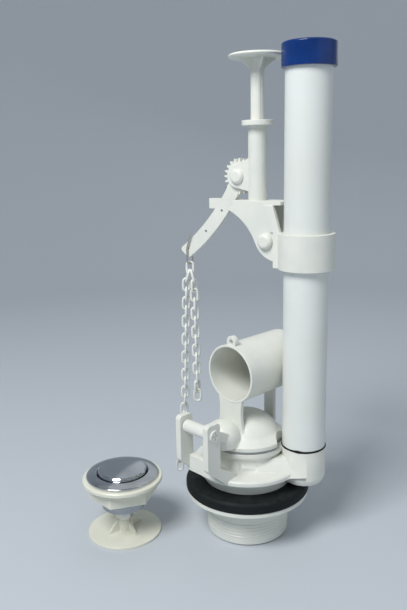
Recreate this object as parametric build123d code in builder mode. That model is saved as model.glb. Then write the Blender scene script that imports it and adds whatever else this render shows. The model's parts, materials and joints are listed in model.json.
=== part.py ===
from build123d import *
import os
from math import acos, atan2, cos, degrees, pi, radians, sin, sqrt, tan

# Cistern flush valve worked by a push rod with a rack, and the lid button that presses the rod.
# The origin is the foot of the outlet tail on its axis, +Z is up, +X runs towards the overflow
# tube, and every size is in millimetres.

os.makedirs("parts", exist_ok=True)

# Fits
running_clearance = 0.05
loose_clearance = 0.4

# Outlet tail, washers and flange
tail_radius = 29.8
tail_wall = 3.6
tail_length = 30.5
tail_chamfer = 1.4
tail_shank_step = 0.5
tail_runout = 1.5
slip_washer_radius = 44.6
slip_washer_thickness = 3.0
seal_radius = 45.3
seal_thickness = 8.0
seal_crown = 3.2
boss_radius = 32.0
boss_height = 9.1
flange_radius = 40.0
flange_edge = 4.4
flange_rise = 1.5
edge_round = 1.0

# Throat, seat and the duct to the overflow stub
neck_radius = 25.6
throat_radius = 21.5
seat_radius = 28.0
seat_height = 3.0
neck_height = 10.0
duct_root_radius = 30.0
duct_height = 12.0
duct_slope = 34.0
duct_floor = 1.8
duct_passage_width = 12.0
duct_passage_height = 8.0

# Overflow tube, its stub on the base, and the cap
tube_x = 39.5
tube_y = -13.0
tube_radius = 15.2
tube_wall = 1.8
tube_length = 267.8
stub_bottom = 42.8
stub_height = 27.5
stub_step = 0.4
stub_round = 6.0
spigot_length = 14.0
spigot_wall = 2.2
joint_ring_height = 0.8
cap_wall = 2.4
cap_depth = 13.2
cap_top = 2.0
cap_round = 0.9
cap_mouth_radius = 10.0

# Hinge ears of the flapper
flap_heading = 224.0
hinge_reach = 49.5
hinge_height = 92.5
hinge_pin_radius = 2.2
hinge_head_radius = 4.0
hinge_head_height = 1.4
hinge_cross_length = 5.6
hinge_cross_width = 1.1
hinge_cross_depth = 0.6
ear_gap = 22.0
ear_thickness = 4.6
ear_width = 12.0
ear_crown = 7.7
ear_corner = 3.0
ear_heel_height = 68.0
ear_foot_inset = 10.0
ear_wall_thickness = 4.0
ear_wall_top = 70.0

# Flapper and its float cup
flap_seal_radius = 27.4
flap_seal_thickness = 2.2
brim_radius = 28.6
brim_edge = 2.8
brim_top_radius = 24.8
brim_height = 7.4
dome_radius = 23.0
dome_height = 13.4
dome_wall = 2.2
cup_radius = 20.9
cup_wall = 1.6
cup_length = 60.0
cup_height = 123.7
cup_lead = 17.6
cup_end_round = 4.0
stem_width = 26.0
stem_waist = 21.2
stem_thickness = 3.0
rear_stem_reach = 26.0
rear_stem_width = 9.0
lobe_reach = 25.5
lobe_radius = 13.0
barrel_radius = 4.4
barrel_end_gap = 0.4
arm_thickness = 4.0
arm_depth = 3.2
relief_gap = 0.9
cup_eye_radius = 4.2
cup_eye_hole_radius = 1.7
cup_eye_thickness = 3.6

# Bracket that clamps the overflow tube and carries the rod, seen in the arm's own upright plane
arm_swing = 35.0
rod_reach = 37.5
ring_bottom = 197.5
ring_height = 24.3
ring_wall = 3.8
ring_slit = 2.4
lug_reach = 20.6
lug_half_width = 9.2
web_half_width = 8.0
web_thickness = 2.2
plate_rise = 20.5
plate_thickness = 2.6
plate_left = 53.0
plate_right = 15.5
web_toe = 6.8
bar_left = 81.0
bar_depth = 7.5
bar_thickness = 3.6
rib_width = 5.4
strip_width = 7.4
strip_height = 1.2
screw_reach = 26.8
screw_rise = 17.8
screw_radius = 2.5
screw_head_radius = 5.6
screw_head_height = 3.8
nut_radius = 5.6
nut_height = 3.6

# Guide sleeve and push rod
rod_radius = 4.6
sleeve_wall = 1.75
sleeve_height = 53.0
collar_radius = 10.65
collar_thickness = 3.5
rod_gap = 4.3
disc_radius = 19.4
disc_rise = 42.8
disc_edge = 3.4
disc_crown = 1.0
disc_rib_radius = 13.0
disc_rib_drop = 7.0
disc_rib_thickness = 1.8

# Rack and toothed lever
tooth_module = 1.128
tooth_count = 20
tooth_backlash = 0.24
pressure_angle = 20.0
gear_dedendum = 1.25
rack_dedendum = 1.3
gear_rise = 16.1
gear_spacing = 13.5
rack_travel = 14.0
rack_lead_teeth = 3
rack_spare_teeth = 8
lever_thickness = 4.0
lever_side_gap = 0.35
lever_width = 10.2
lever_droop = 49.3
lever_sag = 4.6
lever_tip_round = 2.2
hole_first = 28.0
hole_pitch = 20.8
hole_count = 3
lever_end = 5.6
lever_hole_radius = 0.95
cheek_thickness = 2.3
cheek_radius = 8.0
pivot_pin_radius = 2.4
pivot_head_radius = 5.2
pivot_head_height = 2.8

# Wire clip and chain
wire_radius = 0.6
clip_half_width = 3.4
clip_drop = 12.5
clip_rise = 10.5
clip_lean = 4.0
link_pitch = 7.3
link_width = 6.0
link_wire = 1.2
link_play = 0.45
top_link_play = 1.15
long_run_count = 23
long_tail_count = 9
short_run_count = 14
run_start_offset = 0.87
long_run_spread = 21.0
short_run_spread = 17.0
long_run_lean = 2.6
long_tail_lean = 6.6
short_run_lean = 0.6

# Lid button, standing beside the valve on its foot
button_x = -92.1
button_y = -4.7
foot_radius = 27.0
foot_thickness = 2.0
foot_rib_radius = 15.5
foot_rib_thickness = 2.0
foot_rib_turn = 40.0
foot_post_radius = 6.0
foot_post_top = 11.4
stem_radius = 6.3
stem_neck_radius = 4.0
button_barrel_radius = 16.0
button_barrel_wall = 1.6
button_thread_wall = 1.3
button_barrel_bottom = 21.6
button_floor = 2.0
button_nut_bottom = 30.5
button_nut_height = 11.0
button_nut_corner = 25.5
button_nut_turn = 15.0
gasket_radius = 29.3
gasket_thickness = 3.4
escutcheon_radius = 26.4
escutcheon_edge = 2.0
escutcheon_rise = 3.4
button_radius = 17.8
button_top = 51.4
button_thickness = 2.6
button_crown = 0.8
button_travel = 6.0
spring_radius = 9.4
spring_wire_radius = 0.7
spring_turns = 4.0

# Levels that follow from the sizes above
seal_bottom = tail_length + slip_washer_thickness
seal_top = seal_bottom + seal_thickness
flange_bottom = seal_top + boss_height
flange_top = flange_bottom + flange_edge
neck_bottom = flange_top + flange_rise
seat_top = neck_bottom + neck_height + seat_height
stub_top = stub_bottom + stub_height
stub_radius = tube_radius + stub_step
tube_bore = tube_radius - tube_wall
spigot_radius = tube_bore - running_clearance
passage_radius = spigot_radius - spigot_wall
tube_bottom = stub_top + joint_ring_height
tube_top = tube_bottom + tube_length
flap_bottom = seat_top + flap_seal_thickness
dome_base = flap_bottom + brim_height
dome_top = dome_base + dome_height
cup_eye_height = cup_height + cup_radius + cup_eye_hole_radius + loose_clearance
ring_top = ring_bottom + ring_height
plate_top = ring_top + plate_rise
screw_height = ring_bottom + screw_rise
sleeve_top = plate_top + sleeve_height
rod_bottom = plate_top + rod_gap
disc_top = sleeve_top + disc_rise
gear_height = plate_top + gear_rise
sleeve_radius = rod_radius + running_clearance + sleeve_wall
lever_slot = lever_thickness / 2 + lever_side_gap
pitch_radius = tooth_module * tooth_count / 2
gear_reach = rod_reach + gear_spacing
ear_outer = ear_gap / 2 + ear_thickness
ear_foot = sqrt(flange_radius**2 - ear_outer**2)
gasket_bottom = button_nut_bottom + button_nut_height
gasket_top = gasket_bottom + gasket_thickness
button_under = button_top - button_crown - button_thickness
button_well = button_radius + loose_clearance
button_thread_radius = button_well + button_thread_wall
stem_shoulder = button_barrel_bottom + button_floor * 2 + button_travel

# Upright plane of the flapper: x runs outwards over the hinge, y is up
flap_out = Vector(cos(radians(flap_heading)), sin(radians(flap_heading)), 0)
flap_plane = Plane((0, 0, 0), x_dir=flap_out, z_dir=flap_out.cross(Vector(0, 0, 1)))

# Upright plane of the bracket arm: x runs from the rod to the tube axis at 0, y is up, and the
# plane's normal points to the front
arm_dir = Vector(cos(radians(-arm_swing)), sin(radians(-arm_swing)), 0)
arm_front = arm_dir.cross(Vector(0, 0, 1))
arm_plane = Plane((tube_x, tube_y, 0), x_dir=arm_dir, z_dir=arm_front)


def level(z):
    """Level plane of the arm at height z: x as in the arm's plane, y to the back."""
    return Plane((tube_x, tube_y, z), x_dir=arm_dir, z_dir=(0, 0, 1))


def facing(across):
    """Plane across the flapper at a reach towards the hinge: x sideways, y up."""
    return Plane(flap_out * across, x_dir=flap_plane.z_dir, z_dir=-flap_out)


def arm_axis(reach):
    """Upright axis on the arm's centre plane, at a reach from the tube."""
    return Axis(arm_plane.from_local_coords((-reach, 0, 0)), (0, 0, 1))


def tube_relief(z):
    """Plan of the room the tube needs beside the flapper, over the flapper's swing, at height z."""
    sweep_in = sqrt(hinge_reach**2 + (hinge_height - seat_top) ** 2) - hinge_reach
    middle = Vector(tube_x, tube_y, z) + flap_out * (sweep_in / 2)
    with BuildSketch(Plane(middle, x_dir=flap_out, z_dir=(0, 0, 1))) as relief:
        SlotCenterToCenter(sweep_in, 2 * (tube_radius + relief_gap))
    return relief.sketch


tube_axis_plane = Plane((tube_x, tube_y, 0), x_dir=(1, 0, 0), z_dir=(0, -1, 0))
button_plane = Plane((button_x, button_y, 0), x_dir=(1, 0, 0), z_dir=(0, -1, 0))
tube_axis = Axis((tube_x, tube_y, 0), (0, 0, 1))
button_axis = Axis((button_x, button_y, 0), (0, 0, 1))


# Base moulding: tail, flange, throat and seat in one turn, then the duct, stub and hinge ears

with BuildPart() as base:
    with BuildSketch(Plane.XZ):
        with BuildLine():
            Polyline(
                (throat_radius, seal_bottom),
                (tail_radius - tail_wall, seal_bottom),
                (tail_radius - tail_wall, 0),
                (tail_radius - tail_chamfer, 0),
                (tail_radius, tail_chamfer),
                (tail_radius, tail_length - tail_runout),
                (tail_radius - tail_shank_step, tail_length - tail_runout + tail_shank_step),
                (tail_radius - tail_shank_step, seal_top),
                (boss_radius, seal_top),
                (boss_radius, flange_bottom),
                (flange_radius - edge_round, flange_bottom),
                (flange_radius, flange_bottom + edge_round),
                (flange_radius, flange_top - edge_round),
                (flange_radius - edge_round, flange_top),
                (neck_radius, neck_bottom),
                (neck_radius, neck_bottom + neck_height - seat_height),
                (seat_radius, neck_bottom + neck_height),
                (seat_radius, seat_top),
                (throat_radius, seat_top),
                close=True,
            )
        make_face()
    revolve(axis=Axis.Z)
    # Duct between the throat and the stub
    with BuildSketch(Plane.XY.offset(flange_bottom + edge_round)):
        with BuildLine():
            span = sqrt(tube_x**2 + tube_y**2)
            heading = degrees(atan2(tube_y, tube_x))
            tilt = degrees(acos((duct_root_radius - stub_radius) / span))
            stub_end = PolarLine((0, 0), span, heading, mode=Mode.PRIVATE) @ 1
            ends = []
            for side in (tilt, -tilt):
                near = PolarLine((0, 0), duct_root_radius, heading + side, mode=Mode.PRIVATE) @ 1
                far = PolarLine(stub_end, stub_radius, heading + side, mode=Mode.PRIVATE) @ 1
                ends.append((near, far))
            Polyline((0, 0), ends[1][0], ends[1][1], stub_end, ends[0][1], ends[0][0], close=True)
        make_face()
    extrude(amount=duct_height, taper=duct_slope)
    with BuildSketch(tube_axis_plane):
        with BuildLine():
            Polyline(
                (0, stub_bottom),
                (stub_radius - stub_round, stub_bottom),
                (stub_radius - stub_round * 0.3, stub_bottom + stub_round * 0.3),
                (stub_radius, stub_bottom + stub_round),
                (stub_radius, stub_top),
                (spigot_radius, stub_top),
                (spigot_radius, stub_top + spigot_length),
                (0, stub_top + spigot_length),
                close=True,
            )
        make_face()
    revolve(axis=tube_axis)
    # Ears and the wall between them
    for side in (1, -1):
        with BuildSketch(flap_plane.offset(side * (ear_gap + ear_thickness) / 2)):
            with BuildLine():
                Polyline(
                    (hinge_reach - ear_width / 2, hinge_height + ear_crown),
                    (hinge_reach + ear_width / 2, hinge_height + ear_crown),
                    (hinge_reach + ear_width / 2, ear_heel_height),
                    (ear_foot, flange_bottom + edge_round),
                    (ear_foot - ear_foot_inset, flange_bottom + edge_round),
                    (ear_foot - ear_foot_inset, neck_bottom),
                    (hinge_reach - ear_width / 2, neck_bottom + ear_foot_inset),
                    close=True,
                )
            ear_face = make_face()
            fillet(ear_face.vertices().group_by(Axis.Z)[-1], radius=ear_corner)
        extrude(amount=ear_thickness / 2, both=True)
    with BuildSketch(flap_plane):
        with BuildLine():
            Polyline(
                (hinge_reach - ear_width / 2, ear_wall_top),
                (hinge_reach - ear_width / 2 + ear_wall_thickness, ear_wall_top),
                (hinge_reach - ear_width / 2 + ear_wall_thickness, ear_heel_height - ear_foot_inset),
                (ear_foot, flange_bottom + edge_round),
                (ear_foot - ear_foot_inset, flange_bottom + edge_round),
                (ear_foot - ear_foot_inset, neck_bottom),
                (hinge_reach - ear_width / 2, neck_bottom + ear_foot_inset),
                close=True,
            )
        make_face()
    extrude(amount=ear_gap / 2 + ear_thickness / 2, both=True)
    with BuildSketch(flap_plane):
        with Locations((hinge_reach, hinge_height)):
            Circle(hinge_pin_radius + running_clearance)
    extrude(amount=ear_outer + loose_clearance, both=True, mode=Mode.SUBTRACT)
    # Waterways: the throat, the stub's bore and the passage that joins them
    with BuildSketch(Plane.XY.offset(seal_bottom)):
        Circle(throat_radius)
    extrude(amount=seat_top - seal_bottom, mode=Mode.SUBTRACT)
    passage_bottom = flange_bottom + edge_round + duct_floor
    with BuildSketch(Plane.XY.offset(passage_bottom)):
        with Locations((tube_x, tube_y)):
            Circle(passage_radius)
    extrude(amount=stub_top + spigot_length - passage_bottom, mode=Mode.SUBTRACT)
    with BuildSketch(Plane.XY.offset(passage_bottom)):
        with Locations(Location((tube_x / 2, tube_y / 2), heading)):
            Rectangle(span, duct_passage_width)
    extrude(amount=duct_passage_height, mode=Mode.SUBTRACT)

base.part.label = "base"
export_step(base.part, "parts/base.step")

# Washers round the tail

with BuildPart() as slip_washer:
    with BuildSketch(Plane.XY.offset(tail_length)):
        Circle(slip_washer_radius)
        Circle(tail_radius + running_clearance, mode=Mode.SUBTRACT)
    extrude(amount=slip_washer_thickness)

slip_washer.part.label = "slip_washer"
export_step(slip_washer.part, "parts/slip_washer.step")

with BuildPart() as seal_washer:
    with BuildSketch(Plane.XZ):
        with BuildLine():
            Line((tail_radius + running_clearance, seal_bottom), (seal_radius - edge_round, seal_bottom))
            crown_start = (seal_radius, seal_bottom + edge_round)
            Line((seal_radius - edge_round, seal_bottom), crown_start)
            Line(crown_start, (seal_radius, seal_top - seal_crown))
            crown_end = (seal_radius - seal_crown, seal_top)
            RadiusArc((seal_radius, seal_top - seal_crown), crown_end, -seal_crown)
            Line(crown_end, (tail_radius + running_clearance, seal_top))
            Line((tail_radius + running_clearance, seal_top), (tail_radius + running_clearance, seal_bottom))
        make_face()
    revolve(axis=Axis.Z)

seal_washer.part.label = "seal_washer"
export_step(seal_washer.part, "parts/seal_washer.step")

# Overflow tube, the dark ring at its joint, and its cap

with BuildPart() as joint_ring:
    with BuildSketch(Plane.XY.offset(stub_top)):
        with Locations((tube_x, tube_y)):
            Circle(stub_radius)
            Circle(spigot_radius + running_clearance, mode=Mode.SUBTRACT)
    extrude(amount=joint_ring_height)

joint_ring.part.label = "joint_ring"
export_step(joint_ring.part, "parts/joint_ring.step")

with BuildPart() as overflow_tube:
    with BuildSketch(Plane.XY.offset(tube_bottom)):
        with Locations((tube_x, tube_y)):
            Circle(tube_radius)
            Circle(tube_bore, mode=Mode.SUBTRACT)
    extrude(amount=tube_length)

overflow_tube.part.label = "overflow_tube"
export_step(overflow_tube.part, "parts/overflow_tube.step")

with BuildPart() as tube_cap:
    with BuildSketch(Plane.XY.offset(tube_top - cap_depth)):
        with Locations((tube_x, tube_y)):
            Circle(tube_radius + cap_wall)
    extrude(amount=cap_depth + cap_top)
    chamfer(tube_cap.edges().group_by(Axis.Z)[-1], length=cap_round)
    with BuildSketch(Plane.XY.offset(tube_top - cap_depth)):
        with Locations((tube_x, tube_y)):
            Circle(tube_radius + running_clearance)
    extrude(amount=cap_depth, mode=Mode.SUBTRACT)
    with BuildSketch(Plane.XY.offset(tube_top)):
        with Locations((tube_x, tube_y)):
            Circle(cap_mouth_radius)
    extrude(amount=cap_top, mode=Mode.SUBTRACT)

tube_cap.part.label = "tube_cap"
export_step(tube_cap.part, "parts/tube_cap.step")

# Flapper: brim and dome in one turn, two stems with saddles for the float cup, and the hinge arms

with BuildPart() as flapper:
    with BuildSketch(Plane.XZ):
        with BuildLine():
            Polyline(
                (0, flap_bottom),
                (brim_radius, flap_bottom),
                (brim_radius, flap_bottom + brim_edge),
                (brim_top_radius, dome_base - brim_edge / 2),
                (dome_radius, dome_base),
            )
            dome_sphere = (dome_radius**2 + dome_height**2) / (2 * dome_height)
            RadiusArc((dome_radius, dome_base), (0, dome_top), -dome_sphere)
            Line((0, dome_top), (0, flap_bottom))
        make_face()
    revolve(axis=Axis.Z)
    extrude(tube_relief(flap_bottom), amount=brim_height, mode=Mode.SUBTRACT)
    # Round lobe towards the hinge
    with BuildSketch(flap_plane):
        with BuildLine():
            lobe_foot = flap_bottom + brim_edge
            lobe_crown = dome_base + lobe_radius
            Line((lobe_reach, lobe_foot), (lobe_reach + lobe_radius, lobe_foot))
            Line((lobe_reach + lobe_radius, lobe_foot), (lobe_reach + lobe_radius, dome_base))
            RadiusArc((lobe_reach + lobe_radius, dome_base), (lobe_reach, lobe_crown), -lobe_radius)
            Line((lobe_reach, lobe_crown), (lobe_reach, lobe_foot))
        make_face()
    revolve(axis=Axis(flap_plane.from_local_coords((lobe_reach, 0, 0)), (0, 0, 1)))
    # Front stem below the cup's mouth
    with BuildSketch(facing(cup_lead)):
        with BuildLine():
            stem_top = cup_height - cup_radius / 2
            for side in (1, -1):
                ThreePointArc(
                    (side * stem_width / 2, stem_top),
                    (side * stem_waist / 2, (stem_top + dome_top) / 2),
                    (side * stem_width / 2, dome_base),
                )
            Line((-stem_width / 2, stem_top), (stem_width / 2, stem_top))
            Line((-stem_width / 2, dome_base), (stem_width / 2, dome_base))
        make_face()
    extrude(amount=stem_thickness)
    # Rear stem from the brim to the cup's closed end
    with BuildSketch(facing(-rear_stem_reach)):
        with Locations((0, (cup_height + dome_base - brim_edge) / 2)):
            Rectangle(rear_stem_width, cup_height - dome_base + brim_edge)
    extrude(amount=stem_thickness / 2, both=True)
    # Hinge barrel and arms
    with BuildSketch(flap_plane):
        with Locations((hinge_reach, hinge_height)):
            Circle(barrel_radius)
    extrude(amount=ear_gap / 2 - barrel_end_gap, both=True)
    for side in (1, -1):
        arm_centre = side * (ear_gap / 2 - barrel_end_gap - arm_thickness / 2)
        with BuildSketch(flap_plane.offset(arm_centre)):
            with BuildLine():
                root = (brim_top_radius - arm_depth, flap_bottom + brim_edge + arm_depth)
                rise = atan2(hinge_height - root[1], hinge_reach - root[0])
                offset_x = arm_depth * sin(rise)
                offset_y = arm_depth * cos(rise)
                Polyline(
                    (root[0] + offset_x, root[1] - offset_y),
                    (hinge_reach + offset_x, hinge_height - offset_y),
                    (hinge_reach - offset_x, hinge_height + offset_y),
                    (root[0] - offset_x, root[1] + offset_y),
                    close=True,
                )
            make_face()
        extrude(amount=arm_thickness / 2, both=True)
    # Saddles for the float cup on top of both stems
    with BuildSketch(facing(cup_lead)):
        with Locations((0, cup_height)):
            Circle(cup_radius + running_clearance)
    extrude(amount=cup_length, mode=Mode.SUBTRACT)
    # Hollow below the dome and the bore for the hinge pin
    with BuildSketch(Plane.XZ):
        with BuildLine():
            inner_radius = dome_radius - dome_wall
            inner_height = dome_height - dome_wall / 2
            Polyline((0, flap_bottom), (inner_radius, flap_bottom), (inner_radius, dome_base - dome_wall / 2))
            inner_sphere = (inner_radius**2 + inner_height**2) / (2 * inner_height)
            hollow_top = (0, dome_top - dome_wall)
            RadiusArc((inner_radius, dome_base - dome_wall / 2), hollow_top, -inner_sphere)
            Line(hollow_top, (0, flap_bottom))
        make_face()
    revolve(axis=Axis.Z, mode=Mode.SUBTRACT)
    with BuildSketch(flap_plane):
        with Locations((hinge_reach, hinge_height)):
            Circle(hinge_pin_radius + running_clearance)
    extrude(amount=ear_gap / 2, both=True, mode=Mode.SUBTRACT)

flapper.part.label = "flapper"
export_step(flapper.part, "parts/flapper.step")

# Float cup, open at the front, with an eye for the chain at its lip

with BuildPart() as float_cup:
    with BuildSketch(facing(cup_lead)):
        with Locations((0, cup_height)):
            Circle(cup_radius)
    extrude(amount=cup_length)
    fillet(float_cup.faces().sort_by(Axis((0, 0, 0), -flap_out))[-1].edges(), radius=cup_end_round)
    with BuildSketch(facing(cup_lead - cup_wall)):
        with Locations((0, cup_eye_height)):
            Circle(cup_eye_radius)
    extrude(amount=cup_eye_thickness)
    with BuildSketch(facing(cup_lead)):
        with Locations((0, cup_eye_height)):
            Circle(cup_eye_hole_radius)
    extrude(amount=cup_eye_thickness + cup_wall * 2, mode=Mode.SUBTRACT)
    with BuildSketch(facing(cup_lead)):
        with Locations((0, cup_height)):
            Circle(cup_radius - cup_wall)
    extrude(amount=cup_length - cup_wall, mode=Mode.SUBTRACT)

float_cup.part.label = "float_cup"
export_step(float_cup.part, "parts/float_cup.step")

with BuildPart() as flapper_seal:
    with BuildSketch(Plane.XY.offset(seat_top)):
        Circle(flap_seal_radius)
        Circle(throat_radius, mode=Mode.SUBTRACT)
    extrude(amount=flap_seal_thickness)
    extrude(tube_relief(seat_top), amount=flap_seal_thickness, mode=Mode.SUBTRACT)

flapper_seal.part.label = "flapper_seal"
export_step(flapper_seal.part, "parts/flapper_seal.step")

# Hinge pin through both ears, with a round head outside each

with BuildPart() as hinge_pin:
    with BuildSketch(flap_plane):
        with Locations((hinge_reach, hinge_height)):
            Circle(hinge_pin_radius)
    extrude(amount=ear_outer, both=True)
    for side in (1, -1):
        with BuildSketch(flap_plane.offset(side * (ear_outer + hinge_head_height / 2))):
            with Locations((hinge_reach, hinge_height)):
                Circle(hinge_head_radius)
        extrude(amount=hinge_head_height / 2, both=True)
        with BuildSketch(flap_plane.offset(side * (ear_outer + hinge_head_height))):
            with Locations((hinge_reach, hinge_height)):
                Rectangle(hinge_cross_length, hinge_cross_width)
                Rectangle(hinge_cross_width, hinge_cross_length)
        extrude(amount=hinge_cross_depth, both=True, mode=Mode.SUBTRACT)

hinge_pin.part.label = "hinge_pin"
export_step(hinge_pin.part, "parts/hinge_pin.step")

# Bracket: split ring round the tube, two webs, a top plate, the guide sleeve and the lever's cheeks


def web_profile(toe_reach):
    """Outline of one web: level top, hollow underside, full belly round the screw, slanted inner edge."""
    underside = plate_top - plate_thickness
    belly = ring_bottom + edge_round
    Line((-plate_right - rib_width, underside), (-plate_left, underside))
    Line((-plate_left, underside), (-toe_reach, plate_top - web_toe))
    waist = (-screw_reach - screw_head_radius * 1.4, screw_height - screw_head_radius / 2)
    hollow = (-screw_reach - screw_head_radius * 3, screw_height + screw_head_radius * 2)
    ThreePointArc((-toe_reach, plate_top - web_toe), hollow, waist)
    heel = (-screw_reach + screw_head_radius, belly + screw_head_radius * 0.6)
    bulge = (-screw_reach - screw_head_radius * 0.2, screw_height - screw_head_radius * 1.9)
    ThreePointArc(waist, bulge, heel)
    Line(heel, (-plate_right, belly))
    Line((-plate_right, belly), (-plate_right, ring_top))
    Line((-plate_right, ring_top), (-plate_right - rib_width, underside))


with BuildPart() as bracket:
    with BuildSketch(Plane.XY.offset(ring_bottom)):
        with Locations((tube_x, tube_y)):
            Circle(tube_radius + running_clearance + ring_wall)
    extrude(amount=ring_height)
    with BuildSketch(level(ring_bottom)):
        with Locations((-lug_reach / 2 - tube_radius / 2, 0)):
            Rectangle(lug_reach - tube_radius, lug_half_width * 2)
    extrude(amount=ring_height)
    for side in (1, -1):
        with BuildSketch(arm_plane.offset(side * (web_half_width - web_thickness / 2))):
            with BuildLine():
                web_profile(plate_left + web_toe / 2)
            make_face()
        extrude(amount=web_thickness / 2, both=True)
    # Raised strip along the front web's slanted edge
    with BuildSketch(arm_plane.offset(web_half_width - web_thickness / 2)):
        with BuildLine():
            strip_top = plate_top - plate_thickness
            Polyline(
                (-plate_right - rib_width, strip_top),
                (-plate_right - rib_width - strip_width, strip_top),
                (-plate_right - strip_width, ring_top),
                (-plate_right, ring_top),
                close=True,
            )
        make_face()
    extrude(amount=web_thickness / 2 + strip_height)
    with BuildSketch(level(plate_top - plate_thickness)):
        with Locations((-(plate_left + plate_right) / 2, 0)):
            Rectangle(plate_left - plate_right, web_half_width * 2)
    extrude(amount=plate_thickness)
    # Bar behind the lever, carried on past the plate
    with BuildSketch(level(plate_top - bar_depth)):
        with Locations((-(bar_left + plate_left) / 2 + bar_thickness, web_half_width - bar_thickness / 2)):
            Rectangle(bar_left - plate_left + bar_thickness * 2, bar_thickness)
    extrude(amount=bar_depth)
    # Guide sleeve with its collar
    with BuildSketch(level(plate_top - plate_thickness)):
        with Locations((-rod_reach, 0)):
            Circle(sleeve_radius)
    extrude(amount=sleeve_top - plate_top + plate_thickness)
    with BuildSketch(level(sleeve_top - collar_thickness)):
        with Locations((-rod_reach, 0)):
            Circle(collar_radius)
    extrude(amount=collar_thickness)
    # Cheeks either side of the toothed lever
    with BuildSketch(arm_plane):
        with Locations((-gear_reach, gear_height)):
            Circle(cheek_radius)
        with BuildLine():
            Polyline(
                (-gear_reach, gear_height + cheek_radius),
                (-rod_reach, gear_height + cheek_radius + sleeve_radius),
                (-rod_reach, gear_height - cheek_radius - sleeve_radius / 2),
                (-gear_reach, gear_height - cheek_radius),
                close=True,
            )
        make_face()
    extrude(amount=lever_slot + cheek_thickness, both=True)
    # Bores, the lever's slot, the ring's slit and the pin and screw holes
    slot_top = gear_height + pitch_radius + tooth_module * 2
    slot_left = gear_reach + pitch_radius + tooth_module * 2
    with BuildSketch(arm_plane):
        with BuildLine():
            Polyline(
                (-rod_reach, slot_top),
                (-slot_left, slot_top),
                (-slot_left, plate_top),
                (-rod_reach, plate_top),
                close=True,
            )
        make_face()
    extrude(amount=lever_slot, both=True, mode=Mode.SUBTRACT)
    with BuildSketch(level(plate_top - plate_thickness)):
        with Locations((-rod_reach, 0)):
            Circle(rod_radius + running_clearance)
    extrude(amount=sleeve_top - plate_top + plate_thickness, mode=Mode.SUBTRACT)
    with BuildSketch(Plane.XY.offset(ring_bottom)):
        with Locations((tube_x, tube_y)):
            Circle(tube_radius + running_clearance)
    extrude(amount=plate_top - ring_bottom, mode=Mode.SUBTRACT)
    with BuildSketch(level(ring_bottom)):
        with Locations((-lug_reach / 2 - tube_radius / 2, 0)):
            Rectangle(lug_reach, ring_slit)
    extrude(amount=ring_height, mode=Mode.SUBTRACT)
    with BuildSketch(arm_plane):
        with Locations((-gear_reach, gear_height)):
            Circle(pivot_pin_radius + running_clearance)
        with Locations((-screw_reach, screw_height)):
            Circle(screw_radius + running_clearance)
    extrude(amount=web_half_width * 2, both=True, mode=Mode.SUBTRACT)

bracket.part.label = "bracket"
export_step(bracket.part, "parts/bracket.step")

# Clamp screw with a domed head in front, and its nut behind

with BuildPart() as clamp_screw:
    with BuildSketch(arm_plane.offset(-web_half_width - nut_height)):
        with Locations((-screw_reach, screw_height)):
            Circle(screw_radius)
    extrude(amount=web_half_width * 2 + nut_height)
    with BuildSketch(arm_plane.offset(web_half_width)):
        with Locations((-screw_reach, screw_height)):
            Circle(screw_head_radius)
    extrude(amount=screw_head_height)
    head_face = clamp_screw.faces().sort_by(Axis((0, 0, 0), arm_front))[-1]
    fillet(head_face.edges(), radius=screw_head_height * 0.8)

clamp_screw.part.label = "clamp_screw"
export_step(clamp_screw.part, "parts/clamp_screw.step")

with BuildPart() as clamp_nut:
    with BuildSketch(arm_plane.offset(-web_half_width - nut_height)):
        with Locations((-screw_reach, screw_height)):
            RegularPolygon(nut_radius, 6)
            Circle(screw_radius + running_clearance, mode=Mode.SUBTRACT)
    extrude(amount=nut_height)

clamp_nut.part.label = "clamp_nut"
export_step(clamp_nut.part, "parts/clamp_nut.step")

# Push rod: round rod, thumb disc on ribs, and the rack cut into the side that faces the lever

rod_axis = arm_axis(rod_reach)
rack_pitch = pi * tooth_module
rack_line = gear_spacing - pitch_radius
rack_low = gear_height - rack_lead_teeth * rack_pitch
rack_gaps = int(rack_travel / rack_pitch) + rack_spare_teeth

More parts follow.
